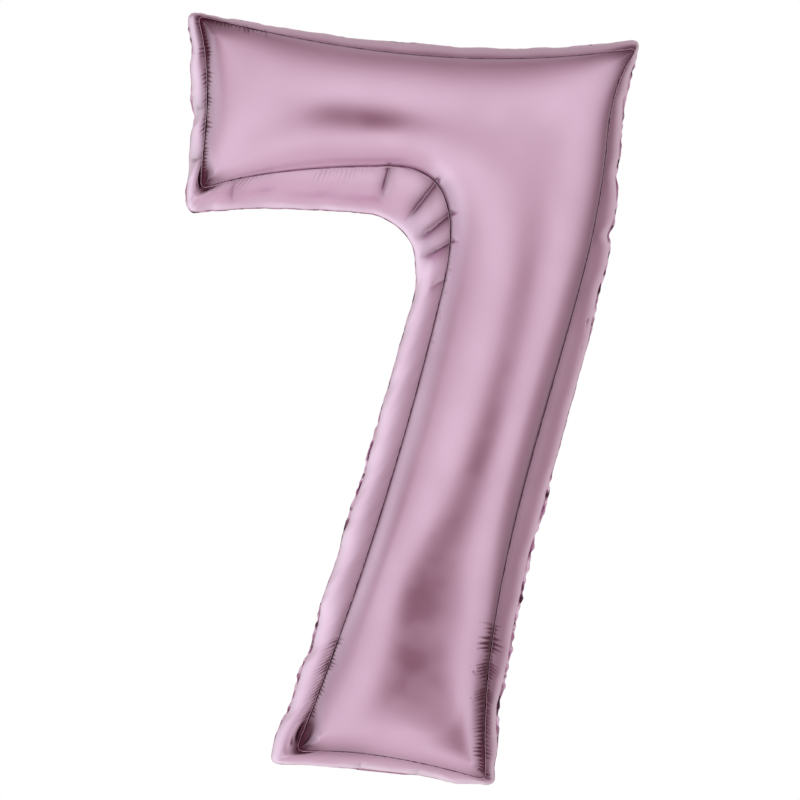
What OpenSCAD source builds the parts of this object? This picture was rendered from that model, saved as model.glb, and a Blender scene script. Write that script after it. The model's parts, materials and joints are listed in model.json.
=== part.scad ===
// Foil number balloon in the shape of a seven, inflated.
//
// Two face films and two side-wall films are welded along three closed seams. The origin is at the
// middle of the foot's outer edge, where the inflation tail begins. X runs to the figure's right,
// Z up, and the front face looks along -Y. All sizes are in millimetres.

/* [Figure outline, outer edge of the rim] */
// Overall width between the upper corners
figure_w = 505; // [480:5:540]
// Height of the top left corner above the foot line
figure_h = 860; // [820:4:900]
// How far the top right corner lies below the top left one
top_drop = 32; // [20:2:44]
// Height of the bar at its left end
bar_h = 228; // [210:2:250]
// Width of the foot
foot_w = 253; // [235:2:265]
// Distance from the figure's middle to the foot's right corner
foot_x = 93; // [80:1:105]
// How far the foot's left corner lies above its right one
foot_rise = 26; // [16:2:34]

/* [Films and seams] */
// Half of the side wall's depth, from the rim to a face seam
wall_half_depth = 55; // [48:1:62]
// How far each face stands out at its middle
face_crown = 38; // [25:1:44]
// How far each side wall bulges between its seams
wall_bulge = 5.5; // [4:0.5:7]
// Thickness that stands in for a film
film_t = 0.5; // [0.4:0.1:0.6]
// Thickness of a welded lip, two films together
lip_t = 1; // [0.8:0.1:1.2]
// Width of the ruffled lip round the rim
rim_lip_w = 5; // [4:0.5:6]
// Width of the lip along a face seam
face_lip_w = 3; // [2:0.5:4]

/* [Inflation tail and valve] */
// Length of the tail
tail_l = 100; // [85:5:120]
// Width of the tail
tail_w = 30; // [26:1:36]
// Radius of the ribbon hole near the tail's end
ribbon_hole_r = 2.5; // [2:0.25:3]
// Radius of the inflation hole in the tail's back ply
inflation_hole_r = 6; // [5:0.5:7]
// Distance of the inflation hole from the root
inflation_hole_l = 66; // [55:1:70]
// Length of the valve inside the balloon
valve_inner_l = 80; // [60:5:95]
// Width of the valve
valve_w = 20; // [16:1:22]

/* [Hang tabs] */
// Width of a hang tab
tab_w = 20; // [16:1:24]
// Length of a hang tab
tab_l = 24; // [20:1:28]
// Radius of the hole in a hang tab
tab_hole_r = 2.5; // [2:0.25:3]

/* [Hidden] */
$fn = 48;

foil = [0.78, 0.60, 0.71];
foil_dark = [0.62, 0.44, 0.55];
clear_film = [0.86, 0.88, 0.90];
ink = [0.70, 0.72, 0.82];

// The outline's corners, in order: bar_left, top_left, top_right, shoulder, foot_right, foot_left,
// elbow. The shoulder is the slight bend of the right side at the height of the bar's lower edge.
left_x = -figure_w / 2 + 2.5;
right_x = figure_w / 2 + 2.5;
bar_z = figure_h - bar_h;
rim_corners = [
  [left_x, bar_z],
  [left_x, figure_h],
  [right_x, figure_h - top_drop],
  [right_x - 27, bar_z - 10],
  [foot_x, -2],
  [foot_x - foot_w, foot_rise - 2],
  [foot_x - 64, bar_z + 5]
];
// How far each corner of the face seam lies from the rim's corner
seam_insets = [[18, 28], [15, -11], [-8, -15], [-21, 26], [-13, 13], [33, 18], [33, 47]];
seam_corners = [for (k = [0:6]) rim_corners[k] + seam_insets[k]];

// Inward bows of each side, near its start and near its end. Sides run from each corner to the
// next: left end, top, upper right, right, foot, stem left, bar bottom.
rim_bows = [[4, 9], [22, 36], [14, 6], [0, 36], [5, 5], [10, 4], [-8, 17]];
seam_bows = [[6, 18], [30, 38], [26, 4], [2, 54], [10, 14], [20, 22], [8, 20]];
// Lengths, before and after each corner, over which it is rounded
rim_rounds = [[14, 14], [14, 14], [14, 14], [60, 60], [14, 14], [14, 14], [115, 111]];
seam_rounds = [[8, 8], [8, 8], [8, 8], [50, 60], [8, 8], [8, 8], [125, 85]];
// Segments along each side, and round each corner
side_n = [8, 15, 6, 16, 8, 20, 10];
corner_n = [4, 4, 4, 3, 4, 4, 14];
// The figure as a bent ribbon: segments across it, and along it
across_n = 12;
along_n = 48;
loop_n = 2 * (across_n + along_n);
wall_n = 6;

function mix(a, b, t) = a + (b - a) * t;
function unit(v) = v / norm(v);
function right_of(v) = [v[1], -v[0]];

// A point of a side that bows inward, at t from 0 to 1
function side_point(corners, bows, k, t) =
  let (p = corners[k], q = corners[(k + 1) % 7])
  mix(p, q, t) + unit(right_of(q - p)) *
    (3 * t * (1 - t) * (1 - t) * bows[k][0] + 3 * t * t * (1 - t) * bows[k][1]);
function side_length(corners, k) = norm(corners[(k + 1) % 7] - corners[k]);

// The rounded corner k, between the side before it and the side after it
function round_point(corners, bows, rounds, k, t) =
  let (
    before = (k + 6) % 7,
    a = side_point(corners, bows, before, 1 - rounds[k][0] / side_length(corners, before)),
    b = side_point(corners, bows, k, rounds[k][1] / side_length(corners, k))
  )
  mix(mix(a, corners[k], t), mix(corners[k], b, t), t);

function outline_raw(corners, bows, rounds) = [
  for (k = [0:6]) each concat(
    [for (s = [0:corner_n[k] - 1]) round_point(corners, bows, rounds, k, s / corner_n[k])],
    let (
      t0 = rounds[k][1] / side_length(corners, k),
      t1 = 1 - rounds[(k + 1) % 7][0] / side_length(corners, k)
    )
    [for (s = [0:side_n[k] - 1]) side_point(corners, bows, k, mix(t0, t1, s / side_n[k]))]
  )
];

// The outline with the tail's root as origin. It starts at the middle of the bar_left corner.
tail_root = side_point(rim_corners, rim_bows, 4, 0.5);
function outline(corners, bows, rounds) =
  let (raw = outline_raw(corners, bows, rounds))
  [for (i = [0:loop_n - 1]) raw[(i + corner_n[0] / 2) % loop_n] - tail_root];

function outward(loop, i) =
  -unit(right_of(loop[(i + 1) % loop_n] - loop[(i + loop_n - 1) % loop_n]));
function grown(loop, d) = [for (i = [0:loop_n - 1]) loop[i] + outward(loop, i) * d];

rim_edge = outline(rim_corners, rim_bows, rim_rounds);
rim_root = grown(rim_edge, -rim_lip_w);
seam_root = outline(seam_corners, seam_bows, seam_rounds);

// A point of the ribbon, at i along it and j across it, blended from its four edges
function ribbon_point(i, j) =
  let (
    u = i / along_n,
    v = j / across_n,
    inner = seam_root[(loop_n - i) % loop_n],
    outer = seam_root[across_n + i],
    bar_end = seam_root[j],
    foot = seam_root[2 * across_n + along_n - j],
    c00 = seam_root[0],
    c01 = seam_root[across_n],
    c10 = seam_root[2 * across_n + along_n],
    c11 = seam_root[across_n + along_n]
  )
  mix(inner, outer, v) + mix(bar_end, foot, u) - mix(mix(c00, c01, v), mix(c10, c11, v), u);

// How far a face stands out at a ribbon point, from 0 at its seam to 1 in its middle
end_ease = 105;
function rise(d) = sqrt(1 - pow(1 - min(1, d / end_ease), 2));
function crown(i, j) =
  let (
    middle = ribbon_point(i, across_n / 2),
    to_bar_end = norm(middle - ribbon_point(0, across_n / 2)),
    to_foot = norm(middle - ribbon_point(along_n, across_n / 2))
  )
  (1 - pow(abs(2 * j / across_n - 1), 2.4)) * rise(to_bar_end) * rise(to_foot);

// A grid of points, (rows + 1) x (columns + 1), as one face list, flipped for the far side
function grid_faces(rows, columns, first, flip) = [
  for (r = [0:rows - 1], c = [0:columns - 1])
    let (
      a = first + r * (columns + 1) + c,
      b = a + 1,
      d = a + columns + 1,
      e = d + 1
    )
    each (flip ? [[a, e, b], [a, d, e]] : [[a, b, e], [a, e, d]])
];

// Closed shell of one face film. side is 1 for the back face and -1 for the front one.
module face_shell(side) {
  lip_face = wall_half_depth + lip_t / 2;
  size = (along_n + 1) * (across_n + 1);
  points = [
    for (skin = [0, -film_t], i = [0:along_n], j = [0:across_n])
      let (p = ribbon_point(i, j))
      [p[0], side * (lip_face + skin + face_crown * crown(i, j)), p[1]]
  ];
  border = concat(
    [for (j = [0:across_n - 1]) j],
    [for (i = [0:along_n - 1]) i * (across_n + 1) + across_n],
    [for (j = [0:across_n - 1]) along_n * (across_n + 1) + across_n - j],
    [for (i = [0:along_n - 1]) (along_n - i) * (across_n + 1)]
  );
  n = len(border);
  flip = side > 0;
  walls = [
    for (k = [0:n - 1])
      let (a = border[k], b = border[(k + 1) % n])
      each (flip ? [[a, b, a + size], [b, b + size, a + size]]
                 : [[a, a + size, b], [b, a + size, b + size]])
  ];
  polyhedron(
    points,
    concat(
      grid_faces(along_n, across_n, 0, flip),
      grid_faces(along_n, across_n, size, !flip),
      walls
    ),
    convexity = 6
  );
}

// A point of a side wall's outer or inner skin: t from 0 at the face seam to 1 at the rim
function wall_point(i, t, skin, side) =
  let (
    start = seam_root[i] + outward(seam_root, i) * (film_t - skin),
    end = rim_root[i] - outward(rim_edge, i) * skin,
    out = unit(outward(seam_root, i) + outward(rim_edge, i)),
    depth = wall_half_depth - lip_t,
    width = (end - start) * out,
    chord = norm([width, depth]),
    bulge = wall_bulge * 4 * t * (1 - t),
    flat = mix(start, end, t) + out * bulge * depth / chord,
    y = mix(wall_half_depth - lip_t / 2, lip_t / 2, t) + bulge * width / chord
  )
  [flat[0], side * y, flat[1]];

// Closed shell of one side-wall film, a ring round the figure
module wall_shell(side) {
  size = loop_n * (wall_n + 1);
  points = [
    for (skin = [0, film_t], i = [0:loop_n - 1], r = [0:wall_n])
      wall_point(i, r / wall_n, skin, side)
  ];
  function at(i, r, far) = (i % loop_n) * (wall_n + 1) + r + (far ? size : 0);
  function quad(a, b, c, d, flip) = flip ? [[a, c, b], [a, d, c]] : [[a, b, c], [a, c, d]];
  flip = side > 0;
  polyhedron(
    points,
    [
      for (i = [0:loop_n - 1]) each concat(
        [for (r = [0:wall_n - 1], far = [false, true])
          each quad(at(i, r, far), at(i, r + 1, far), at(i + 1, r + 1, far), at(i + 1, r, far),
                    flip != far)],
        quad(at(i, 0, false), at(i + 1, 0, false), at(i + 1, 0, true), at(i, 0, true), flip),
        quad(at(i, wall_n, true), at(i + 1, wall_n, true), at(i + 1, wall_n, false),
             at(i, wall_n, false), flip)
      )
    ],
    convexity = 6
  );
}

// A flat welded lip between two loops, in the plane y
module lip(inner, outer, y) {
  translate([0, y + lip_t / 2, 0]) rotate([90, 0, 0]) linear_extrude(lip_t) difference() {
    polygon(outer);
    polygon(inner);
  }
}

module front_panel() {
  color(foil) face_shell(-1);
}

module back_panel() {
  color(foil) face_shell(1);
}

module front_gusset() {
  color(foil) wall_shell(-1);
}

module back_gusset() {
  color(foil) wall_shell(1);
}

module front_seam() {
  color(foil_dark) lip(seam_root, grown(seam_root, face_lip_w), -wall_half_depth);
}

module rim_seam() {
  color(foil_dark) lip(grown(rim_edge, -rim_lip_w - film_t), rim_edge, 0);
}

module back_seam() {
  color(foil_dark) lip(seam_root, grown(seam_root, face_lip_w), wall_half_depth);
}

// The foot's slope, and the gap between the rim's edge and a flap that folds on it
foot_angle = atan2(foot_rise, foot_w);
fold_gap = 1.2;
tail_core_t = 0.7;
valve_film_t = 0.2;

// A rounded strip that hangs from its fold line, y0 to y1 thick
module strip(w, l0, l, y0, y1, corner_r) {
  translate([0, y1, 0]) rotate([90, 0, 0]) linear_extrude(y1 - y0) union() {
    translate([-w / 2, -l + corner_r]) square([w, l - corner_r - l0]);
    translate([-w / 2 + corner_r, -l]) square([w - 2 * corner_r, corner_r]);
    for (s = [-1, 1]) translate([s * (w / 2 - corner_r), -l + corner_r]) circle(corner_r);
  }
}

module cross_hole(l, r) {
  translate([0, 5, -l]) rotate([90, 0, 0]) cylinder(h = 10, r = r);
}

// The tail, modelled hanging down, is stored folded straight back behind the foot
module tail_fold() {
  rotate([0, foot_angle, 0]) rotate([90, 0, 0]) children();
}

ribbon_hole_l = tail_l - 8;
weld_border = 4;
tail_ply_y = tail_core_t / 2;

module tail_front_ply() {
  color(foil) tail_fold() difference() {
    strip(tail_w, fold_gap, tail_l, -tail_ply_y - film_t, -tail_ply_y, 5);
    cross_hole(ribbon_hole_l, ribbon_hole_r);
  }
}

module tail_back_ply() {
  color(foil) tail_fold() difference() {
    strip(tail_w, fold_gap, tail_l, tail_ply_y, tail_ply_y + film_t, 5);
    cross_hole(ribbon_hole_l, ribbon_hole_r);
    cross_hole(inflation_hole_l, inflation_hole_r);
  }
}

// The welded band runs down both edges of the tail and fills its end
module tail_weld() {
  color(foil_dark) tail_fold() difference() {
    strip(tail_w, fold_gap, tail_l, -tail_ply_y, tail_ply_y, 5);
    translate([-tail_w / 2 + weld_border, -1, -tail_l + 16])
      cube([tail_w - 2 * weld_border, 2, tail_l]);
    cross_hole(ribbon_hole_l, ribbon_hole_r);
  }
}

tail_valve_l = tail_l - 18;

module tail_valve_front_film() {
  color(clear_film) tail_fold()
    strip(valve_w, fold_gap, tail_valve_l, -0.1 - valve_film_t, -0.1, 3);
}

module tail_valve_back_film() {
  color(clear_film) tail_fold()
    strip(valve_w, fold_gap, tail_valve_l, 0.1, 0.1 + valve_film_t, 3);
}

// The valve's inner films stand up inside the balloon from just above the rim's weld
valve_start = rim_lip_w + film_t + 1;

module valve_film(y0, y1, top) {
  rotate([0, foot_angle, 0]) translate([0, y1, 0]) rotate([90, 0, 0]) linear_extrude(y1 - y0)
    polygon([
      [-valve_w / 2, valve_start],
      [valve_w / 2, valve_start],
      [valve_w / 2 - 3, top],
      [-valve_w / 2 + 3, top]
    ]);
}

module valve_front_film() {
  color(clear_film) valve_film(-0.1 - valve_film_t, -0.1, valve_inner_l);
}

module valve_back_film() {
  color(clear_film) valve_film(0.1, 0.1 + valve_film_t, valve_inner_l);
}

// The ink lies on the back film where the weld crosses the valve, so that it stays open there
module valve_ink() {
  color(ink) valve_film(0, 0.1, valve_start + 14);
}

// A hang tab on the top edge, at t along it, modelled upright and stored folded straight back
module hang_tab(t) {
  here = side_point(rim_corners, rim_bows, 1, t) - tail_root;
  step = side_point(rim_corners, rim_bows, 1, t + 0.01) - tail_root - here;
  slope = atan2(-step[1], step[0]);
  translate([here[0], 0, here[1]]) rotate([0, slope, 0]) rotate([-90, 0, 0]) difference() {
    mirror([0, 0, 1]) strip(tab_w, fold_gap, tab_l, -lip_t / 2, lip_t / 2, 6);
    cross_hole(-tab_l + 9, tab_hole_r);
  }
}

tab_left_t = 0.13;
tab_right_t = 0.88;

module hang_tab_left() {
  color(foil) hang_tab(tab_left_t);
}

module hang_tab_right() {
  color(foil) hang_tab(tab_right_t);
}

front_panel();
back_panel();
front_gusset();
back_gusset();
front_seam();
rim_seam();
back_seam();
valve_front_film();
valve_back_film();
valve_ink();
tail_front_ply();
tail_weld();
tail_back_ply();
tail_valve_front_film();
tail_valve_back_film();
hang_tab_left();
hang_tab_right();
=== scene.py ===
import json
import math

import bmesh
import bpy
import numpy as np
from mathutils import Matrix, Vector, geometry


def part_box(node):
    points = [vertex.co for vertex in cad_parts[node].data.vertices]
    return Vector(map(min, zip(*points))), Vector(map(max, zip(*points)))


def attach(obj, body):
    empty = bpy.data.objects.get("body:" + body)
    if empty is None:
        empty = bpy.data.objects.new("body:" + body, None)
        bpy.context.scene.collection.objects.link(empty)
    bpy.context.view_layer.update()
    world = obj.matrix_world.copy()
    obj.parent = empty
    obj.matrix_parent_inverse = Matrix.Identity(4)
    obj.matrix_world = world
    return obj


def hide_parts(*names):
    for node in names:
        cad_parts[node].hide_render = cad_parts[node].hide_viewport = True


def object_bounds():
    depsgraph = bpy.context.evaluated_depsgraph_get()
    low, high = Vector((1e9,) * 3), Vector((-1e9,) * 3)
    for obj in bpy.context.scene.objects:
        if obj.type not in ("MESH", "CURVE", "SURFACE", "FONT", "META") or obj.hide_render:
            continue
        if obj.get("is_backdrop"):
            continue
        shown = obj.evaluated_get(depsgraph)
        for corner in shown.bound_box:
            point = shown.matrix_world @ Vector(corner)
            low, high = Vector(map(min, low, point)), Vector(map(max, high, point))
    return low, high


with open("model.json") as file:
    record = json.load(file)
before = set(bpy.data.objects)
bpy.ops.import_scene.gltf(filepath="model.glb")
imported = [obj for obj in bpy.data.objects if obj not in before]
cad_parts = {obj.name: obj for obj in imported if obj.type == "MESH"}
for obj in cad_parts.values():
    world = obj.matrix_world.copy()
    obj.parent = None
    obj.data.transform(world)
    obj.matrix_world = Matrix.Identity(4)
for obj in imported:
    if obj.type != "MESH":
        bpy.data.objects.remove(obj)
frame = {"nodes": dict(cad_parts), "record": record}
cad_low, cad_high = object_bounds()
figure_w = cad_high.x - cad_low.x
figure_h = cad_high.z - cad_low.z
centre = (cad_low + cad_high) / 2

# ---------------------------------------------------------------------------------------------
# The outline, read back from the CAD model's welded seams
# ---------------------------------------------------------------------------------------------

MM = 0.001
SEAM_Y = abs(sum(corner.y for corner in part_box("front_seam")) / 2)
FILM = 0.2 * MM                     # thickness given to every film
# Sides run clockwise seen from the front, each from one anchor to the next
SIDE_COUNT = 6
BAR_END, TOP, RIGHT, FOOT, STEM, BAR_UNDER = range(SIDE_COUNT)
# Anchors are the outline's furthest points in these directions; the elbow is found between them
ANCHORS = ((-1.0, -0.1), (-1.0, 1.0), (1.0, 1.0), (1.0, -1.0), (-1.0, -1.0))
ELBOW = (0.8, 0.6)


def node_loops(node):
    """The two closed edge loops of a flat lip's front face, the longer one first."""
    mesh = bmesh.new()
    mesh.from_mesh(frame["nodes"][node].data)
    bmesh.ops.remove_doubles(mesh, verts=mesh.verts, dist=1e-6)
    front = {f for f in mesh.faces if f.normal.y < -0.9}
    links = {}
    for edge in mesh.edges:
        if sum(f in front for f in edge.link_faces) == 1:
            a, b = edge.verts
            links.setdefault(a, []).append(b)
            links.setdefault(b, []).append(a)
    loops, seen = [], set()
    for start in links:
        loop, here = [], start
        while here is not None and here not in seen:
            seen.add(here)
            loop.append((here.co.x, here.co.z))
            here = next((v for v in links[here] if v not in seen), None)
        if loop:
            loops.append(np.array(loop))
    mesh.free()
    return sorted(loops, key=lambda p: -np.linalg.norm(p - np.roll(p, 1, 0), axis=1).sum())


def smooth_loop(points, steps=16):
    """A closed centripetal Catmull-Rom curve through the points."""
    out = []
    n = len(points)
    for k in range(n):
        p = [points[(k + j) % n] for j in (-1, 0, 1, 2)]
        t = np.cumsum([0.0] + [max(np.linalg.norm(p[j + 1] - p[j]), 1e-9) ** 0.5 for j in range(3)])
        x = np.linspace(t[1], t[2], steps, endpoint=False)[:, None]

        def blend(a, b, ta, tb):
            return (tb - x) / (tb - ta) * a + (x - ta) / (tb - ta) * b

        a1, a2, a3 = (blend(p[j], p[j + 1], t[j], t[j + 1]) for j in range(3))
        b1, b2 = blend(a1, a2, t[0], t[2]), blend(a2, a3, t[1], t[3])
        out.append(blend(b1, b2, t[1], t[2]))
    return np.concatenate(out)


class Outline:
    """A closed curve in the figure's plane. q counts sides: 2.25 is a quarter along side 2."""

    def __init__(self, points):
        area = 0.5 * np.sum(points[:, 0] * np.roll(points[:, 1], -1)
                            - points[:, 1] * np.roll(points[:, 0], -1))
        if area > 0:
            points = points[::-1]
        curve = smooth_loop(points)
        start = int(np.argmax(curve @ np.array(ANCHORS[0])))
        curve = np.roll(curve, -start, axis=0)
        self.curve = np.vstack([curve, curve[:1]])
        self.length_at = np.concatenate(
            [[0], np.cumsum(np.linalg.norm(np.diff(self.curve, axis=0), axis=1))])
        marks = [0] + [int(np.argmax(curve @ np.array(d))) for d in ANCHORS[1:]]
        inner = curve[marks[4]:]
        marks.append(marks[4] + int(np.argmax(inner @ np.array(ELBOW))))
        self.starts = np.append(self.length_at[marks], self.length_at[-1])
        self.sizes = np.diff(self.starts)

    def place(self, q):
        q = np.mod(q, SIDE_COUNT)
        side = np.minimum(q.astype(int), SIDE_COUNT - 1)
        return self.starts[side] + (q - side) * self.sizes[side]

    def at_length(self, length):
        length = np.mod(length, self.length_at[-1])
        return np.stack([np.interp(length, self.length_at, self.curve[:, k]) for k in (0, 1)], -1)

    def at(self, q):
        return self.at_length(self.place(q))

    def outward(self, q, reach=3 * MM):
        length = self.place(q)
        along = self.at_length(length + reach) - self.at_length(length - reach)
        along /= np.linalg.norm(along, axis=-1, keepdims=True)
        return np.stack([-along[..., 1], along[..., 0]], -1)


# The face seam is the inner edge of its lip, and the rim is the outer edge of its own
seam = Outline(node_loops("front_seam")[1])
rim_edge = Outline(node_loops("rim_seam")[0])

# ---------------------------------------------------------------------------------------------
# Folds of the film. Places along the outline are q values: the side's number and how far along.
# ---------------------------------------------------------------------------------------------


def waves(x, lengths, seed, count=5):
    """Smooth noise of about unit size along a length, from waves near the given lengths."""
    draw = np.random.default_rng(seed)
    total = np.zeros_like(x)
    for size in lengths:
        for _ in range(count):
            total += np.sin(2 * np.pi * x / (size * draw.uniform(0.75, 1.35)) + draw.uniform(0, 7))
    return total / math.sqrt(len(lengths) * count / 2)


def smooth01(x):
    x = np.clip(x, 0, 1)
    return x * x * (3 - 2 * x)


def hump(x, low, high, ease):
    """1 between low and high, falling smoothly to 0 over ease outside them."""
    return smooth01((x - low) / ease + 1) * smooth01((high - x) / ease + 1)


def pleat_train(length, pitch, seed):
    """Rounded ridges with sharp valleys about every pitch, each of its own size.

    Gives the depth, from 0 to -1, and the nearness to a valley, from 0 to 1.
    """
    draw = np.random.default_rng(seed)
    edges = np.cumsum(pitch * draw.uniform(0.72, 1.28, size=int(4 / pitch)))
    sizes = draw.uniform(0.6, 1.0, size=len(edges) + 1)
    slot = np.minimum(np.searchsorted(edges, length), len(edges) - 1)
    low = np.concatenate([[0], edges])[slot]
    phase = (length - low) / np.maximum(edges[slot] - low, 1e-6)
    depth = -sizes[slot] * (1 - np.sqrt(np.clip(4 * phase * (1 - phase), 0, 1)))
    return depth, sizes[slot] * np.abs(2 * phase - 1)


# Where the seam is gathered: side, start and end along it, depth, reach over the side wall, reach
# over the face, all in mm, and how dark the shade painted in the gathers' valleys is, from 0 to 1
PLEATS = (
    (BAR_END, 4, 176, 2.4, 6, 5, 1.0),
    (TOP, 2, 72, 2.2, 5, 6, 0.9),
    (TOP, 72, 470, 0.2, 5, 3, 0.15),
    (RIGHT, 4, 40, 1.0, 6, 4, 0.5),
    (RIGHT, 40, 125, 2.2, 8, 6, 0.4),
    (RIGHT, 125, 640, 0.2, 4, 3, 0.3),
    (RIGHT, 655, 812, 3.0, 10, 13, 0.95),
    (FOOT, 15, 150, 0.6, 9, 3, 0.12),
    (STEM, 42, 128, 3.6, 13, 5, 0.90),
    (STEM, 128, 480, 0.2, 5, 3, 0.3),
    (STEM, 470, 580, 0.3, 3, 5, 0.6),
    (BAR_UNDER, 88, 130, 1.6, 17, 3, 0.2),
    (BAR_UNDER, 205, 258, 2.0, 12, 3, 0.3),
)
PLEAT_PITCH = 4.5 * MM
# Shade painted along the seam's crease: side, start and end along it in mm, how dark, and its reach
# in mm
PAINTED_SEAM_SHADE = (
    (BAR_END, 0, 240, 0.85, 4),
    (TOP, 0, 520, 0.58, 10),
    (RIGHT, 0, 640, 0.72, 10),
    (RIGHT, 640, 860, 0.75, 10),
    (FOOT, 0, 250, 0.40, 7),
    (STEM, 0, 460, 0.62, 8),
    (STEM, 460, 640, 0.62, 7),
    (BAR_UNDER, 0, 60, 0.45, 4),
    (BAR_UNDER, 60, 190, 0.20, 5),
    (BAR_UNDER, 190, 270, 0.35, 5),
)
# Deep folds across the side wall: q at the face seam, q at the rim, depth and half width in mm,
# where across the wall the fold starts and ends from 0 to 1, and how far it runs on over the face
FOLDS = (
    (4.837, 4.900, 2.2, 2.2, 0.0, 0.35, 6),
    (4.903, 4.962, 5.6, 2.4, 0.0, 0.80, 10),
    (4.949, 4.992, 6.4, 2.6, 0.0, 0.84, 12),
    (5.017, 5.040, 6.4, 2.6, 0.0, 0.78, 10),
    (5.221, 5.120, 4.8, 2.0, 0.04, 0.62, 4),
    (5.848, 5.760, 1.8, 3.0, 0.0, 0.7, 0),
    (0.476, 0.515, 3.6, 2.6, 0.0, 1.0, 0),
    (0.178, 0.260, 3.8, 2.6, 0.0, 1.0, 0),
    (3.649, 3.584, 1.6, 2.6, 0.3, 1.0, 0),
    (3.355, 3.341, 1.4, 2.6, 0.3, 1.0, 0),
)
# Pockets where wall and face sink beside a corner: q, depth, half length, half width, all mm
POCKETS = (
    (4.030, 4.0, 20, 9),
    (3.965, 3.0, 18, 6),
    (0.040, 4.0, 16, 6),
    (0.800, 3.5, 26, 5),
    (5.960, 3.0, 14, 7),
    (2.975, 3.0, 16, 7),
)


def offset_from(q, place):
    """Signed length along the seam from a place to q, the short way round."""
    total = seam.length_at[-1]
    return np.mod(seam.place(q) - seam.place(np.array(place)) + total / 2, total) - total / 2


def pleats(q, distance, gap, on_face, seed):
    """Depth of the gathers at q along the seam and a distance from it, and the shade painted there.

    distance is along the film and gap is the same in the figure's plane.
    """
    side = np.minimum(np.mod(q, SIDE_COUNT).astype(int), SIDE_COUNT - 1)
    around = seam.place(q)
    length = (around - seam.starts[side]) / MM
    slant = 0.25 * distance * np.sin(around / (37 * MM) + seed)
    train, valley = pleat_train(around + slant, PLEAT_PITCH, seed)
    uneven = np.clip(1 + 0.22 * waves(around, [30 * MM], seed + 3), 0.65, 1.4)
    start = 0.3 + 0.7 * np.clip(distance / (1.5 * MM), 0, 1)
    depth = np.zeros(np.broadcast(q, distance).shape)
    shade = depth + 0
    # Painted shade: a dark band along the seam's crease
    for name, low, high, dark, reach in PAINTED_SEAM_SHADE:
        here = np.where(side == name, hump(length, low, high, 14), 0)
        shade = np.maximum(shade, here * dark * np.exp(-gap / (reach * MM)))
    for name, low, high, size, wall_reach, face_reach, dark in PLEATS:
        here = np.where(side == name, hump(length, low, high, 14), 0)
        reach = (face_reach if on_face else wall_reach) * MM
        fade = np.exp(-(distance / (reach * uneven)) ** 2)
        depth += here * size * MM * (0.6 if on_face else 1) * fade * start
        # Painted shade: dark teeth in the gathers' valleys
        tooth = reach * uneven * (0.15 + 1.1 * valley)
        shade = np.maximum(shade, here * dark * np.exp(-(gap / tooth) ** 4))
    return depth * train, shade


def folds(q, v):
    """Depth of the folds across the side wall."""
    depth = np.zeros(np.broadcast(q, v).shape)
    for at_seam, at_rim, size, half, begin, end, _ in FOLDS:
        off = offset_from(q, at_seam) * (1 - v) + offset_from(q, at_rim) * v
        across = smooth01((v - begin + 0.02) / 0.04) * smooth01((end - v) / (0.5 * end))
        width = half * MM * (1 - 0.4 * v)
        valley = np.exp(-np.abs(off) / width)
        waist = 0.35 * np.exp(-(off / (5 * width)) ** 2)
        depth -= size * MM * across * (0.65 * valley + waist)
    return depth


def face_folds(q, distance):
    """Depth of the same folds where they run on over the face."""
    depth = np.zeros_like(q)
    for at_seam, _, size, half, _, _, reach in FOLDS:
        if reach:
            off = offset_from(q, at_seam)
            fade = smooth01(1 - distance / (reach * MM))
            depth -= 0.30 * size * MM * fade * np.exp(-(off / (half * 0.9 * MM)) ** 2)
    return depth


def pockets(q, distance):
    depth = np.zeros(np.broadcast(q, distance).shape)
    for place, size, half_length, half_width in POCKETS:
        off = offset_from(q, place)
        near = np.clip(distance / (0.5 * half_width * MM), 0, 1)
        far = np.exp(-(distance / (1.5 * half_width * MM)) ** 2)
        depth -= size * MM * np.exp(-(off / (half_length * MM)) ** 2) * near * far
    return depth


# Where the rim stands out from its even line, negative where it is drawn in: q, mm, half length mm
RIM_SWAYS = (
    (0.09, 2.0, 12), (0.27, 1.5, 12), (0.46, -3.2, 9), (0.73, 1.5, 12), (0.82, -1.5, 12),
    (1.10, -2.0, 20), (1.52, 1.5, 40), (2.03, 2.0, 14), (2.08, -2.5, 10), (2.18, -2.5, 16),
    (2.26, -4.0, 9), (2.33, -2.0, 22), (2.62, 2.0, 24), (2.90, -4.0, 22), (2.98, -3.0, 14),
    (3.18, 3.0, 16), (4.05, 2.5, 16), (4.22, -2.5, 14), (4.30, 2.0, 14), (4.45, 1.5, 24),
)


def rim_sway(q):
    total = np.zeros_like(q)
    for place, size, half in RIM_SWAYS:
        total += size * MM * np.exp(-(offset_from(q, place) / (half * MM)) ** 2)
    return total + 0.4 * MM * waves(seam.place(q), [42 * MM, 90 * MM], 31)


# ---------------------------------------------------------------------------------------------
# Surfaces
# ---------------------------------------------------------------------------------------------


def spaced_q(coarse, fine):
    """Samples round the outline, closer together where the seam is gathered or folded."""
    out = []
    for k in range(SIDE_COUNT):
        size = seam.sizes[k]
        x = np.linspace(0, size, 2000)
        busy = np.zeros_like(x)
        for side, low, high, depth, *_ in PLEATS:
            if side == k and depth >= 0.5:
                busy = np.maximum(busy, hump(x, low * MM, high * MM, 16 * MM))
        for place, *_ in FOLDS:
            centre = (place - k) * size
            busy = np.maximum(busy, np.exp(-((x - centre) / (13 * MM)) ** 2))
        busy = np.maximum(busy, np.exp(-(np.minimum(x, size - x) / (10 * MM)) ** 2))
        density = 1 / (coarse + (fine - coarse) * busy)
        count = np.concatenate([[0], np.cumsum((density[1:] + density[:-1]) / 2 * np.diff(x))])
        n = max(8, int(count[-1]))
        out.append(k + np.interp(np.linspace(0, count[-1], n, endpoint=False), count, x) / size)
    return np.concatenate(out)


def grid_normals(points):
    """Unit normals of a ring-shaped grid of points, rows round it and columns across."""
    around = np.roll(points, -1, 0) - np.roll(points, 1, 0)
    across = np.gradient(points, axis=1)
    normal = np.cross(around, across)
    return normal / np.maximum(np.linalg.norm(normal, axis=-1, keepdims=True), 1e-12)


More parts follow.
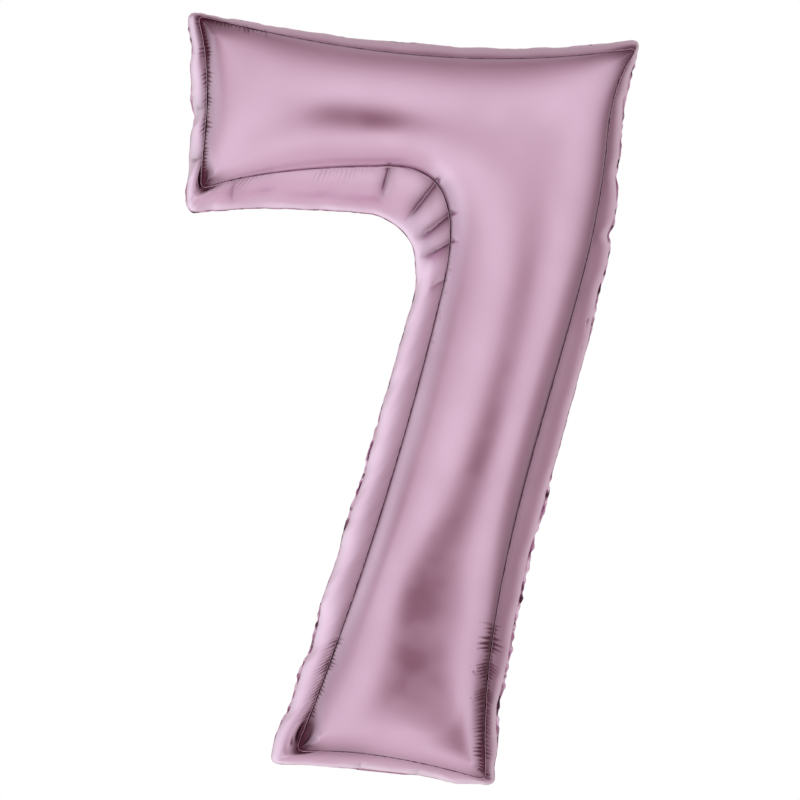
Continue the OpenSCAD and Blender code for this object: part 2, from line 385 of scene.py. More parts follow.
def ring_faces(rows, columns, first=0):
    r = np.arange(rows)[:, None]
    c = np.arange(columns - 1)
    a, b = (r * columns + c).ravel(), ((r + 1) % rows * columns + c).ravel()
    return first + np.stack([a, b, b + 1, a + 1], -1)


def film_object(name, points, faces, thickness=FILM, flip=False, painted_shade=None):
    """A mesh given a film's thickness, and at each point, from 0 to 1, how much shade is painted on
    it in a crease.
    """
    mesh = bpy.data.meshes.new(name)
    faces = [f[::-1] for f in faces] if flip else faces
    mesh.from_pydata(points.reshape(-1, 3).tolist(), [], [list(map(int, f)) for f in faces])
    mesh.shade_smooth()
    if painted_shade is not None:
        # Painted shade in the creases, kept as a point attribute for the film's material
        layer = mesh.attributes.new("painted_shade", "FLOAT", "POINT")
        layer.data.foreach_set("value", np.clip(painted_shade, 0, 1).ravel().astype(np.float32))
    obj = bpy.data.objects.new(name, mesh)
    bpy.context.scene.collection.objects.link(obj)
    shell = obj.modifiers.new("film", "SOLIDIFY")
    shell.thickness = thickness
    shell.offset = -1
    return obj


def ring_object(name, points, thickness=FILM, flip=False, painted_shade=None):
    return film_object(name, points, ring_faces(*points.shape[:2]), thickness, flip, painted_shade)


def painted_shade_of(shade, distance, lift, sink):
    """How much shade is painted on a point in a crease: in the gathers, in a fold, or in a sunken
    corner.
    """
    sunk = 0.97 * np.clip(sink / (10 * MM), 0, 1) * np.exp(-(distance / (12 * MM)) ** 2)
    fold = 0.55 * np.clip(-lift / (3 * MM), 0, 1)
    return 1 - (1 - shade) * (1 - sunk) * (1 - fold)


# Where the rim's lip is crumpled, as ranges of q, and how much
RAGGED = ((0.02, 0.10, 0.4), (0.42, 0.56, 0.4), (0.80, 0.93, 0.4), (1.0, 1.06, 0.3),
          (2.04, 2.38, 0.6), (2.60, 2.92, 1.0), (4.10, 4.28, 0.7), (4.46, 4.64, 0.7),
          (5.88, 5.97, 0.3))
RIM_LIPS = (1.0 * MM, 3.0 * MM)     # width of the rim's lip where it is even and where ragged
TUBE_START = math.radians(21)       # how far the wall leans outward already at the face seam


def raggedness(q):
    return sum(amount * hump(q, low, high, 0.03) for low, high, amount in RAGGED)


def rim_lip(q):
    return RIM_LIPS[0] + (RIM_LIPS[1] - RIM_LIPS[0]) * raggedness(q)


# The tail and the hang tabs: flat strips of film that fold at the rim. Their places, slopes and
# holes are the record's joints and mounts.
joints = {joint["name"]: joint for joint in frame["record"]["behaviour"]["joints"]}
mounts = {mount["name"]: mount for mount in frame["record"]["mounts"]}
# Where the rim covers a strip's root: joint, half width of the strip's seat, how far the wall is
# drawn in there and how far the lip stands out past its even line, all in mm
SEATS = (("tail_fold", 24, 0.7, 0.9), ("hang_tab_left_fold", 17, 0.3, 0.6),
         ("hang_tab_right_fold", 17, 0.3, 0.6))


def hinge_q(joint, samples=6000):
    """The place on the rim nearest a joint."""
    q = np.linspace(0, SIDE_COUNT, samples, endpoint=False)
    x, _, z = joints[joint]["pos_m"]
    return q[np.linalg.norm(rim_edge.at(q) - (x, z), axis=1).argmin()]


def seat(q):
    """Share of the way onto a strip's seat, how far the wall is drawn in, and the lip out."""
    on, drawn, out = np.zeros_like(q), np.zeros_like(q), np.zeros_like(q)
    for joint, half, inset, cover in SEATS:
        here = smooth01(2 * (1.25 - np.abs(offset_from(q, hinge_q(joint))) / (half * MM)))
        on += here
        drawn += inset * MM * here
        out += cover * MM * here
    return on, drawn, out


def rim_line(q):
    """Where the two side walls meet, in the figure's plane."""
    on, drawn, _ = seat(q)
    inset = rim_lip(q) + drawn - rim_sway(q) * (1 - on)
    return rim_edge.at(q) - rim_edge.outward(q) * inset[..., None]


def wall_profile(width, steps=160):
    """Sections of side walls of each width: share of the way out to the rim, depth and length."""
    angle = np.linspace(TUBE_START, math.pi / 2, steps)[None, :]
    share = (np.sin(angle) - math.sin(TUBE_START)) / (1 - math.sin(TUBE_START))
    depth = SEAM_Y * np.cos(angle) / math.cos(TUBE_START) + 0 * width
    length = np.hypot(np.diff(share * width, axis=1), np.diff(depth, axis=1))
    length = np.concatenate([np.zeros_like(width), np.cumsum(length, 1)], 1)
    return share + 0 * width, depth, length


def wall_points(q, v, side):
    """Side wall from the face seam, v = 0, to the rim, v = 1. side is -1 in front, 1 behind."""
    start, end = seam.at(q), rim_line(q)
    width = np.linalg.norm(end - start, axis=-1)[:, None]
    share, depth, length = wall_profile(width)
    total = length[:, -1]
    shares = np.stack([np.interp(v * total[i], length[i], share[i]) for i in range(len(q))])
    depths = np.stack([np.interp(v * total[i], length[i], depth[i]) for i in range(len(q))])
    around = seam.place(q)
    slack = 1 + 0.018 * waves(around, [60 * MM, 130 * MM], 11 + side)[:, None] * 4 * v * (1 - v)
    plane = start[:, None] + (end - start)[:, None] * (shares * slack)[..., None]
    depths -= seam_sink(q)[:, None] * (depths / SEAM_Y) ** 4
    points = np.stack([plane[..., 0], side * (depths + FILM), plane[..., 1]], -1)
    normal = grid_normals(points) * -side
    q, v = q[:, None], v[None, :]
    distance = v * total[:, None]
    seed = 5 if side < 0 else 6
    gathers, shade = pleats(q, distance, shares * width, False, seed)
    creases = folds(q, v) + pockets(q, distance)
    lift = gathers + creases
    ripple = waves(seam.place(q) + 0.5 * distance, [24 * MM, 50 * MM], 40 + side)
    lift += 0.12 * MM * np.sqrt(v * (1 - v)) * ripple
    painted_shade = painted_shade_of(shade, distance, creases, seam_sink(q))
    return points + normal * (lift * smooth01((1 - v) / 0.08))[..., None], painted_shade


# Where the face seam is drawn in, most of all beside corners: q, depth and half length in mm
SINKS = ((4.02, 16, 26), (0.03, 9, 16), (0.90, 7, 40), (0.45, 3, 40), (2.90, 6, 45), (1.02, 5, 30),
         (5.97, 5, 20), (2.0, 8, 22), (3.0, 5, 14), (3.75, 3, 30))
SINK_REACH = 11 * MM                # how far from the seam a face goes down with it
FACE_CROWN = cad_high.y - SEAM_Y - 1.5 * MM
FACE_FULLNESS = 0.60                # height goes with this power of the pressed membrane's
# Rows of the face's margin, mm from the seam
MARGIN = (0, 0.3, 0.8, 1.5, 2.4, 3.5, 4.8, 6.4, 8.2, 10.2, 12.5)
# Nets inside the margin: spacing, and the nearest and furthest distance from the seam, all in mm
FACE_NETS = ((2.4, 13.8, 26), (4.4, 28.5, 1000))


def seam_sink(q):
    """How far the face seam is drawn in towards the rim's plane beside the corners."""
    total = np.zeros_like(q)
    for place, size, half in SINKS:
        total += size * MM * np.exp(-(offset_from(q, place) / (half * MM)) ** 2)
    return total


def edge_distance(points, samples=2400):
    """Nearest place on the face seam for each point: its q and the distance."""
    q = np.linspace(0, SIDE_COUNT, samples, endpoint=False)
    line = seam.at(q)
    best = np.empty(len(points), int)
    for k in range(0, len(points), 4000):
        part = points[k:k + 4000]
        gap = ((part[:, None, 0] - line[:, 0]) ** 2 + (part[:, None, 1] - line[:, 1]) ** 2)
        best[k:k + 4000] = gap.argmin(1)
    return q[best], np.linalg.norm(points - line[best], axis=1)


def inside(points, polygon):
    x, y = points[:, 0], points[:, 1]
    a, b = polygon, np.roll(polygon, -1, 0)
    odd = np.zeros(len(points), bool)
    for (ax, ay), (bx, by) in zip(a, b):
        if ay != by:
            odd ^= ((ay > y) != (by > y)) & (x < (bx - ax) * (y - ay) / (by - ay) + ax)
    return odd


def lattice(step, low, high):
    rows = np.arange(low[1], high[1], step * math.sqrt(0.75))
    points = []
    for k, z in enumerate(rows):
        x = np.arange(low[0] + (k % 2) * step / 2, high[0], step)
        points.append(np.stack([x, np.full_like(x, z)], -1))
    return np.concatenate(points)


def turns(points, faces):
    """Twice the signed area of each face's first corner, positive when it turns left."""
    a, b, c = (points[faces[:, k]] for k in range(3))
    return (b - a)[:, 0] * (c - a)[:, 1] - (b - a)[:, 1] * (c - a)[:, 0]


def margin_rows(q):
    """Distances from the seam of the margin's rows, drawn in beside the corners."""
    scale = np.ones_like(q)
    for corner in (BAR_END, TOP, RIGHT, FOOT, STEM):
        scale -= 0.5 * np.exp(-(offset_from(q, corner) / (20 * MM)) ** 2)
    return np.array(MARGIN) * MM * scale[:, None]


def face_layout(q):
    """The face's flat mesh: a fine margin along the seam round a triangle net."""
    inward = -seam.outward(q, 20 * MM)
    margin = seam.at(q)[:, None] + inward[:, None] * margin_rows(q)[..., None]
    rim = margin[:, -1]
    low, high = rim.min(0), rim.max(0)
    fill = []
    for step, near, far in FACE_NETS:
        points = lattice(step * MM, low, high)
        points = points[inside(points, rim)]
        _, gap = edge_distance(points)
        fill.append(points[(gap > near * MM) & (gap < far * MM)])
    fill = np.concatenate(fill)
    flat = [Vector(p) for p in np.concatenate([rim, fill])]
    n = len(rim)
    edges = [(k, (k + 1) % n) for k in range(n)]
    out = geometry.delaunay_2d_cdt(flat, edges, [], 0, 1e-7)
    vertices = np.array([tuple(v) for v in out[0]])
    source = np.array([min(given) if given else -1 for given in out[3]])
    triangles = np.array(out[2])
    triangles = triangles[inside(vertices[triangles].mean(1), rim)]
    # Number the rim's vertices as in the margin, and the others after it
    columns = len(MARGIN)
    added = source < 0
    source[added] = n + len(fill) + np.arange(added.sum())
    number = np.where(source < n, source * columns + columns - 1, n * columns + source - n)
    triangles = number[triangles]
    plane = np.concatenate([margin.reshape(-1, 2), fill, vertices[added]])
    turned = turns(plane, triangles) < 0
    triangles[turned] = triangles[turned][:, ::-1]
    quads = ring_faces(n, columns)
    if np.median(turns(plane, quads)) < 0:
        quads = quads[:, ::-1]
    return plane, triangles, quads, n * columns


def pressed_membrane(plane, triangles, fixed, steps=1500):
    """Height of a film held at its edge and pushed by gas, at each point of a flat mesh."""
    load = np.zeros(len(plane))
    p = [plane[triangles[:, k]] for k in range(3)]
    edge = [p[2] - p[1], p[0] - p[2], p[1] - p[0]]
    area = np.abs(edge[0][:, 0] * edge[1][:, 1] - edge[0][:, 1] * edge[1][:, 0]) / 2 + 1e-12
    heads, tails, weights = [], [], []
    diagonal = np.zeros(len(plane))
    for m in range(3):
        load += np.bincount(triangles[:, m], area / 3, len(plane))
        diagonal += np.bincount(triangles[:, m], (edge[m] ** 2).sum(1) / (4 * area), len(plane))
        n = (m + 1) % 3
        weight = (edge[m] * edge[n]).sum(1) / (4 * area)
        heads += [triangles[:, m], triangles[:, n]]
        tails += [triangles[:, n], triangles[:, m]]
        weights += [weight, weight]
    heads, tails, weights = map(np.concatenate, (heads, tails, weights))

    free = ~fixed

    def apply(u):
        return (diagonal * u + np.bincount(heads, weights * u[tails], len(u))) * free

    u = np.zeros(len(plane))
    rest = load * free
    z = rest / diagonal
    move, score = z.copy(), rest @ z
    first = score
    for _ in range(steps):
        pushed = apply(move)
        step = score / (move @ pushed)
        u += step * move
        rest = rest - step * pushed
        z = rest / diagonal
        score, before = rest @ z, score
        if score < 1e-12 * first:
            break
        move = z + score / before * move
    return np.clip(u, 0, None)


# Broad swellings and dips of the face: place as shares of the figure's width and height, rise and
# half width in mm
SWELLS = (
    (0.30, 0.875, 5.5, 60),      # the left of the bar stands out
    (0.73, 0.82, -5, 75),        # a hollow where the bar turns into the stem
    (0.76, 0.63, 2, 80),         # the shoulder
    (0.72, 0.46, 10, 140),       # the stem's right half, down to its middle
    (0.42, 0.29, 11, 95),        # the stem's left half, lower down
    (0.55, 0.24, -11, 70),       # the two hollows above the foot
    (0.54, 0.10, -8, 70),
)


def swell(plane):
    total = np.zeros(len(plane))
    corner = np.array([cad_low.x, cad_low.z])
    for share_x, share_z, rise, half in SWELLS:
        gap = plane - corner - np.array([figure_w, figure_h]) * (share_x, share_z)
        total += rise * MM * np.exp(-(gap ** 2).sum(1) / (half * MM) ** 2)
    return total


def vertex_normals(points, faces):
    normal = np.zeros_like(points)
    for shape in faces:
        a, b, c = points[shape[:, 0]], points[shape[:, 1]], points[shape[:, 2]]
        face = np.cross(b - a, c - a)
        for k in range(shape.shape[1]):
            for axis in range(3):
                normal[:, axis] += np.bincount(shape[:, k], face[:, axis], len(points))
    return normal / np.maximum(np.linalg.norm(normal, axis=1, keepdims=True), 1e-15)


def face_points(layout, height, near_q, near_gap, side):
    """A face's points and the shade painted in its creases, from its flat layout. side is -1 in
    front, 1 behind.
    """
    plane, triangles, quads, _ = layout
    points = np.stack([plane[:, 0], -(SEAM_Y + height), plane[:, 1]], -1)
    normal = vertex_normals(points, (triangles, quads))
    distance = np.hypot(near_gap, np.maximum(height, 0))
    gathers, shade = pleats(near_q, distance, near_gap, True, 5 if side < 0 else 6)
    creases = pockets(near_q, distance) * 0.5 + face_folds(near_q, near_gap)
    lift = (gathers + creases) * smooth01(near_gap / (1.2 * MM))
    points = points + normal * lift[:, None]
    points[:, 1] *= -side
    return points, painted_shade_of(shade, near_gap, creases, seam_sink(near_q))


def strip_points(inner, outer, inner_y, outer_y, rows=6):
    """A narrow welded lip between two lines, each with its own depth."""
    v = np.linspace(0, 1, rows)[None, :]
    plane = inner[:, None] + (outer - inner)[:, None] * v[..., None]
    y = inner_y[:, None] * (1 - v) + outer_y[:, None] * v
    return np.stack([plane[..., 0], y, plane[..., 1]], -1)


# ---------------------------------------------------------------------------------------------
# Materials
# ---------------------------------------------------------------------------------------------


class Shader:
    """A material's node tree with its Principled shader."""

    def __init__(self, name):
        self.material = bpy.data.materials.new(name)
        self.material.use_nodes = True
        self.tree = self.material.node_tree
        self.bsdf = self.tree.nodes["Principled BSDF"]
        self.coords = self.add("ShaderNodeTexCoord").outputs["Object"]

    def add(self, kind, **values):
        node = self.tree.nodes.new(kind)
        for key, value in values.items():
            if key in node.inputs:
                node.inputs[key].default_value = value
            else:
                setattr(node, key, value)
        return node

    def link(self, a, b):
        self.tree.links.new(a, b)

    def set(self, **values):
        for key, value in values.items():
            self.bsdf.inputs[key.replace("_", " ")].default_value = value

    def noise(self, scale, detail=3.0, roughness=0.55):
        node = self.add("ShaderNodeTexNoise", Scale=scale, Detail=detail, Roughness=roughness)
        self.link(self.coords, node.inputs["Vector"])
        return node.outputs["Fac"]

    def ramp(self, fac, low, high, low_at=0.35, high_at=0.65):
        node = self.add("ShaderNodeMapRange", interpolation_type="SMOOTHSTEP")
        node.inputs["From Min"].default_value = low_at
        node.inputs["From Max"].default_value = high_at
        node.inputs["To Min"].default_value = low
        node.inputs["To Max"].default_value = high
        self.link(fac, node.inputs["Value"])
        return node.outputs["Result"]

    def colours(self, fac, low, high, low_at=0.3, high_at=0.7):
        node = self.add("ShaderNodeValToRGB")
        node.color_ramp.interpolation = "EASE"
        node.color_ramp.elements[0].position = low_at
        node.color_ramp.elements[1].position = high_at
        node.color_ramp.elements[0].color = (*low, 1)
        node.color_ramp.elements[1].color = (*high, 1)
        self.link(fac, node.inputs["Fac"])
        return node.outputs["Color"]

    def bump(self, layers):
        """Bump from (height, strength, distance in metres) layers."""
        normal = None
        for height, strength, distance in layers:
            node = self.add("ShaderNodeBump", Strength=strength, Distance=distance)
            self.link(height, node.inputs["Height"])
            if normal:
                self.link(normal, node.inputs["Normal"])
            normal = node.outputs["Normal"]
        self.link(normal, self.bsdf.inputs["Normal"])


PAINTED_SHADE_TINT = (0.11, 0.025, 0.045)    # the film's colour is multiplied towards this where shade is painted deep in a crease
FOIL_LOW = (0.690, 0.465, 0.610)
FOIL_HIGH = (0.740, 0.510, 0.660)


def foil(name, low=FOIL_LOW, high=FOIL_HIGH, rough=(0.285, 0.33), crinkle=0.25, cloud=9.0,
         edge=(0.3, 0.7)):
    """Satin metallised film: a cloudy coat, shade painted into its creases, faint crinkles and a
    fine grain.
    """
    s = Shader(name)
    s.set(Metallic=1.0, Coat_Weight=0.12, Coat_Roughness=0.28, Coat_IOR=1.5)
    coat = s.colours(s.noise(cloud, 2.0, 0.5), low, high, *edge)
    # Painted shade: a point attribute darkens the colour towards the tint deep in creases, gathers
    # and sunken corners
    painted_shade = s.add("ShaderNodeAttribute", attribute_name="painted_shade")
    dark = s.add("ShaderNodeMix", data_type="RGBA", blend_type="MULTIPLY")
    s.link(painted_shade.outputs["Fac"], dark.inputs["Factor"])
    # A mix node's colours are its sockets 6 and 7, and output 2
    s.link(coat, dark.inputs[6])
    dark.inputs[7].default_value = (*PAINTED_SHADE_TINT, 1)
    s.link(dark.outputs[2], s.bsdf.inputs["Base Color"])
    s.link(s.ramp(s.noise(26.0, 1.0, 0.5), *rough), s.bsdf.inputs["Roughness"])
    layers = [(s.noise(900.0, 2.0, 0.5), 0.10, 0.05 * MM)]
    if crinkle:
        layers.insert(0, (s.noise(14.0, 2.0, 0.4), crinkle, 1.2 * MM))
    s.bump(layers)
    return s.material


def clear_film(name):
    s = Shader(name)
    s.set(Base_Color=(0.93, 0.94, 0.96, 1), Alpha=0.45, IOR=1.5, Coat_Weight=0.5)
    s.link(s.ramp(s.noise(60.0, 3.0), 0.12, 0.3), s.bsdf.inputs["Roughness"])
    s.bump([(s.noise(120.0, 3.0), 0.3, 0.2 * MM)])
    return s.material


def ink_coat(name):
    s = Shader(name)
    s.set(Roughness=0.6)
    grain = s.noise(700.0, 3.0, 0.6)
    s.link(s.colours(grain, (0.42, 0.45, 0.58), (0.55, 0.57, 0.68)), s.bsdf.inputs["Base Color"])
    s.bump([(grain, 0.2, 0.05 * MM)])
    return s.material


face_foil = foil("face_foil", crinkle=0)
wall_foil = foil("wall_foil", rough=(0.28, 0.32), crinkle=0.3)
lip_foil = foil("lip_foil", (0.64, 0.42, 0.56), (0.72, 0.49, 0.63), (0.29, 0.38), 0.5)
# The rim's lip is blotched with near-black: painted shade in its crinkles
rim_foil = foil("rim_foil", (0.12, 0.045, 0.075), (0.72, 0.50, 0.64), (0.29, 0.38), 0.5, 60.0,
                (0.36, 0.47))
weld_foil = foil("weld_foil", (0.55, 0.34, 0.45), (0.66, 0.44, 0.57), (0.3, 0.4), 0.5, 40.0)
tail_foil = foil("tail_foil", rough=(0.28, 0.36), crinkle=0.4)
valve_clear = clear_film("valve_clear_film")
valve_coat = ink_coat("valve_release_coat")

# ---------------------------------------------------------------------------------------------
# Pieces
# ---------------------------------------------------------------------------------------------


def finish_piece(obj, material, body, slot, *nodes):
    obj.data.materials.append(material)
    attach(obj, body)
    if nodes:
        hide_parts(*nodes)
    return obj


LIP_THICK = 0.4 * MM
wall_q = spaced_q(3.0 * MM, 1.05 * MM)
wall_v = np.linspace(0, 1, 27)
wall_v = 0.55 * wall_v + 0.45 * wall_v ** 2         # closer together beside the face seam
around = seam.place(wall_q)

layout = face_layout(wall_q)
plane, triangles, quads, margin_count = layout
fixed = np.zeros(len(plane), bool)
fixed[:margin_count:len(MARGIN)] = True
net = np.concatenate([triangles, quads[:, [0, 1, 2]], quads[:, [0, 2, 3]]])
height = pressed_membrane(plane, net, fixed)
height = FACE_CROWN * (height / height.max()) ** FACE_FULLNESS
height += swell(plane) * smooth01(height / (25 * MM))
near_q, near_gap = edge_distance(plane)
near_q[:margin_count] = np.repeat(wall_q, len(MARGIN))
near_gap[:margin_count] = margin_rows(wall_q).ravel()
height -= seam_sink(near_q) * np.exp(-(near_gap / SINK_REACH) ** 2)

for side, word in ((-1, "front"), (1, "back")):
    points, painted_shade = face_points(layout, height, near_q, near_gap, side)
    shapes = list(triangles) + list(quads)
    face = film_object(f"{word}_face", points, shapes, flip=side > 0, painted_shade=painted_shade)
    finish_piece(face, face_foil, "envelope", "foil", f"{word}_panel")

    points, painted_shade = wall_points(wall_q, wall_v, side)
    wall = ring_object(f"{word}_side_wall", points, flip=side < 0, painted_shade=painted_shade)
    finish_piece(wall, wall_foil, "envelope", "foil", f"{word}_gusset")

    # The welded lip of the face seam stands out of the crease
    root = seam.at(wall_q)
    lip_w = 0.8 * MM + 0.2 * MM * waves(around, [9 * MM, 30 * MM], 51)
    rise = 0.7 * MM + 0.2 * MM * waves(around, [11 * MM, 33 * MM], 53)
    points = strip_points(root, root + seam.outward(wall_q) * lip_w[:, None],
                          side * (SEAM_Y - 0.3 * MM - seam_sink(wall_q)),
                          side * (SEAM_Y + rise - seam_sink(wall_q)))
    lip = ring_object(f"{word}_seam_lip", points, thickness=LIP_THICK, flip=side > 0)
    finish_piece(lip, lip_foil, "envelope", "foil_seam", f"{word}_seam")

root = rim_line(wall_q)
ragged = 0.2 + raggedness(wall_q)
rim_w = rim_lip(wall_q) + 0.6 * MM * ragged * waves(around, [11 * MM, 25 * MM, 60 * MM], 61)
on, drawn, out = seat(wall_q)
rim_w = np.maximum(rim_w * (1 - on) + RIM_LIPS[0] * on, 0.5 * MM) + drawn + out
sway = 1.1 * MM * ragged * (1 - on) * waves(around, [18 * MM, 47 * MM], 63)
points = strip_points(root, root + rim_edge.outward(wall_q) * rim_w[:, None],
                      np.zeros(len(wall_q)), sway)
rim = ring_object("rim_ruffle", points, thickness=LIP_THICK)
finish_piece(rim, rim_foil, "envelope", "foil_seam", "rim_seam")


def hole(mount, joint):
    """A mount's hole as its middle along the strip and its radius."""
    gap = mounts[mount]["pos_m"][1] - joints[joint]["pos_m"][1]
    return gap, mounts[mount]["dims"]["r_mm"] * MM


def cut_strip(width, start, end, corner, holes, step):
    """A flat strip with two round corners at its end and round holes, as points and triangles."""
    half = width / 2
    turn = np.linspace(0, math.pi / 2, 7)
    bend = np.stack([half - corner + corner * np.cos(turn), end - corner + corner * np.sin(turn)], 1)
    sides = np.arange(start, end - corner, step)
    right = np.stack([np.full_like(sides, half), sides], 1)
    edge = np.concatenate([right, bend, bend[::-1] * (-1, 1), right[::-1] * (-1, 1)])
    rings = []
    for along, radius in holes:
        count = max(24, int(2 * math.pi * radius / step))
        angle = np.linspace(0, 2 * math.pi, count, endpoint=False)
        rings.append(np.stack([radius * np.cos(angle), along + radius * np.sin(angle)], 1))
    net = lattice(step, (-half, start), (half, end))
    keep = inside(net, edge)
    for line in [edge] + rings:
        keep &= (np.linalg.norm(net[:, None] - line, axis=2).min(1) > 0.6 * step)
    for ring in rings:
        keep &= ~inside(net, ring)
    loops, bonds, first = [edge] + rings, [], 0
    for loop in loops:
        n = len(loop)
        bonds += [(first + k, first + (k + 1) % n) for k in range(n)]
        first += n
    flat = np.concatenate(loops + [net[keep]])
    out = geometry.delaunay_2d_cdt([Vector(p) for p in flat], bonds, [], 0, 1e-8)
    points, shapes = np.array([tuple(v) for v in out[0]]), np.array(out[2])
    middle = points[shapes].mean(1)
    kept = inside(middle, edge)
    for ring in rings:
        kept &= ~inside(middle, ring)
    shapes = shapes[kept]
    turned = turns(points, shapes) < 0
    shapes[turned] = shapes[turned][:, ::-1]
    return points, shapes


def film_strip(name, joint, strip, level, thickness, rise, seed):
    """A strip standing straight back from its hinge, its outer skin at a level over the hinge."""
    points, shapes = strip
    axis = np.array(joints[joint]["axis"])
    across = axis * np.sign(axis[0])
    back = np.array([0, 1, 0])
    over = np.cross(across, back)
    half = points[:, 0].max()
    edge = np.clip((half - np.abs(points[:, 0])) / half, 0, 1)
    along = points[:, 1]
    soft = smooth01((edge - 0.25) / 0.5)
    pucker = waves(along, [7 * MM, 15 * MM], seed) * (1 - soft) * 0.05 * MM
    crumple = waves(along + 0.7 * points[:, 0], [11 * MM, 24 * MM], seed + 1) * soft * 0.3
    sign = 1 if level > 0 else -1
    height = level + sign * (pucker + rise * soft * (0.75 + crumple))
    place = (np.array(joints[joint]["pos_m"]) + points[:, :1] * across + along[:, None] * back
             + height[:, None] * over)
    return film_object(name, place, shapes, thickness, flip=level < 0)


TAIL_LEVEL = 0.62 * MM              # height of each ply's outer skin over the tail's hinge
TAIL_RISE = 0.3 * MM                # how much further a ply's middle stands out
TAB_LEVEL = 0.45 * MM
TAB_RISE = -0.15 * MM
TAB_THICK = 0.9 * MM

low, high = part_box("tail_front_ply")
tail_start, tail_end = low.y, high.y
tail_w = (high.x - low.x) * abs(joints["tail_fold"]["axis"][0])
ribbon_hole = hole("ribbon_hole", "tail_fold")
inflation_hole = hole("inflation_hole", "tail_fold")
for word, sign, holes in (("front", -1, [ribbon_hole]), ("back", 1, [ribbon_hole, inflation_hole])):
    strip = cut_strip(tail_w, tail_start, tail_end, 5 * MM, holes, 1.5 * MM)
    ply = film_strip(f"tail_{word}_film", "tail_fold", strip, sign * TAIL_LEVEL, FILM, TAIL_RISE,
                     70 + sign)
    finish_piece(ply, tail_foil, "tail", "foil", f"tail_{word}_ply")

for word in ("left", "right"):
    node = f"hang_tab_{word}"
    low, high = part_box(node)
    tab_w = (high.x - low.x) * abs(joints[f"{node}_fold"]["axis"][0])
    strip = cut_strip(tab_w, low.y, high.y, 6 * MM, [hole(f"hang_hole_{word}", f"{node}_fold")],
                      1.0 * MM)
    tab = film_strip(f"{node}_film", f"{node}_fold", strip, TAB_LEVEL, TAB_THICK, TAB_RISE, 80)
    finish_piece(tab, weld_foil, node, "foil", node)

for node, material in (("valve_front_film", valve_clear), ("valve_back_film", valve_clear),
                       ("tail_valve_front_film", valve_clear),
                       ("tail_valve_back_film", valve_clear), ("valve_ink", valve_coat),
                       ("tail_weld", weld_foil)):
    frame["nodes"][node].data.materials.clear()
    frame["nodes"][node].data.materials.append(material)

# ---------------------------------------------------------------------------------------------
# Stage, light and camera
# ---------------------------------------------------------------------------------------------


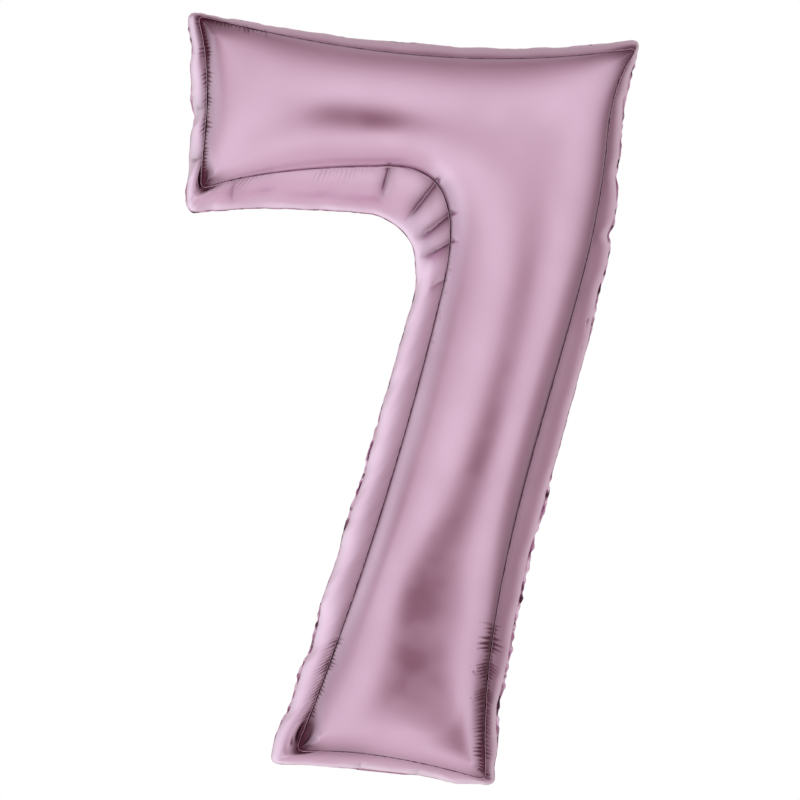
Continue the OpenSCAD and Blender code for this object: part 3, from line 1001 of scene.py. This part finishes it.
def make_stage():
    mesh = bpy.data.meshes.new("floor")
    size, level = 1.6, cad_low.z - 1.5
    mesh.from_pydata([(centre.x + x * size, y * size, level) for x, y in
                      ((-1, -1), (1, -1), (1, 1), (-1, 1))], [], [(0, 1, 2, 3)])
    floor = bpy.data.objects.new("floor", mesh)
    bpy.context.scene.collection.objects.link(floor)
    s = Shader("pale_floor")
    s.set(Roughness=0.9, Emission_Color=(1, 1, 1, 1), Emission_Strength=0.25)
    s.link(s.colours(s.noise(3.0), (0.88, 0.88, 0.88), (0.92, 0.92, 0.92)),
           s.bsdf.inputs["Base Color"])
    mesh.materials.append(s.material)
    floor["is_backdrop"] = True


def make_world():
    """A pale room with a dim part in front, so that the film shows its curves."""
    world = bpy.data.worlds.new("studio")
    bpy.context.scene.world = world
    world.use_nodes = True
    nodes, links = world.node_tree.nodes, world.node_tree.links
    nodes.clear()
    direction = nodes.new("ShaderNodeTexCoord")
    towards = nodes.new("ShaderNodeVectorMath")
    towards.operation = "DOT_PRODUCT"
    # The dim part of the room lies in front, a little low and to the right: opposite to this
    dip, aside = math.radians(13), math.radians(10)
    towards.inputs[1].default_value = (-math.sin(aside) * math.cos(dip),
                                       math.cos(aside) * math.cos(dip), math.sin(dip))
    links.new(direction.outputs["Generated"], towards.inputs[0])
    ramp = nodes.new("ShaderNodeValToRGB")
    half = nodes.new("ShaderNodeMath")
    half.operation = "MULTIPLY_ADD"
    half.inputs[1].default_value = 0.5
    half.inputs[2].default_value = 0.5
    links.new(towards.outputs["Value"], half.inputs[0])
    links.new(half.outputs["Value"], ramp.inputs["Fac"])
    # Angle from the dim part's middle in degrees, level, and how red
    bands = ((0, 0.14, 1), (10, 0.15, 1), (19, 0.80, 0.14), (27, 1.02, 0), (50, 0.97, 0.02),
             (66, 0.78, 0.10), (82, 0.60, 0.18), (106, 0.52, 0.20), (124, 0.74, 0.12),
             (142, 0.80, 0.10), (165, 0.60, 0.15))
    while len(ramp.color_ramp.elements) < len(bands):
        ramp.color_ramp.elements.new(0.5)
    for element, (degrees, level, red) in zip(ramp.color_ramp.elements, bands):
        element.position = 0.5 - 0.5 * math.cos(math.radians(degrees))
        element.color = (level, level * (1 - 0.95 * red), level * (1 - 0.72 * red), 1)
    # A soft light from low on the left
    lamp = nodes.new("ShaderNodeVectorMath")
    lamp.operation = "DOT_PRODUCT"
    lamp.inputs[1].default_value = (-0.75, 0.35, -0.5)
    links.new(direction.outputs["Generated"], lamp.inputs[0])
    glow = nodes.new("ShaderNodeMapRange")
    glow.interpolation_type = "SMOOTHSTEP"
    for name, value in (("From Min", 0.4), ("From Max", 0.75), ("To Min", 0.0), ("To Max", 0.5)):
        glow.inputs[name].default_value = value
    links.new(lamp.outputs["Value"], glow.inputs["Value"])
    lit = nodes.new("ShaderNodeVectorMath")
    lit.operation = "MULTIPLY_ADD"
    links.new(glow.outputs["Result"], lit.inputs[0])
    lit.inputs[1].default_value = (0.85, 1.15, 1.1)
    links.new(ramp.outputs["Color"], lit.inputs[2])
    studio = nodes.new("ShaderNodeBackground")
    links.new(lit.outputs["Vector"], studio.inputs["Color"])
    studio.inputs["Strength"].default_value = 1.0
    white = nodes.new("ShaderNodeBackground")
    white.inputs["Color"].default_value = (1, 1, 1, 1)
    white.inputs["Strength"].default_value = 1.0
    path = nodes.new("ShaderNodeLightPath")
    mix = nodes.new("ShaderNodeMixShader")
    links.new(path.outputs["Is Camera Ray"], mix.inputs["Fac"])
    links.new(studio.outputs["Background"], mix.inputs[1])
    links.new(white.outputs["Background"], mix.inputs[2])
    out = nodes.new("ShaderNodeOutputWorld")
    links.new(mix.outputs["Shader"], out.inputs["Surface"])


def make_camera():
    distance = 4.5
    frame_width = 0.888             # what the picture takes in at the rim's plane
    shift = Vector((-0.0145, 0, -0.0015))
    data = bpy.data.cameras.new("camera")
    camera = bpy.data.objects.new("camera", data)
    bpy.context.scene.collection.objects.link(camera)
    data.sensor_width = 36
    data.lens = data.sensor_width * distance / frame_width
    camera.location = Vector((centre.x, -distance, centre.z)) + shift
    camera.rotation_euler = (math.radians(90), 0, 0)
    data.clip_end = 50
    bpy.context.scene.camera = camera


make_stage()
make_world()
make_camera()
bpy.context.scene.view_settings.view_transform = "Standard"

low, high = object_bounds()
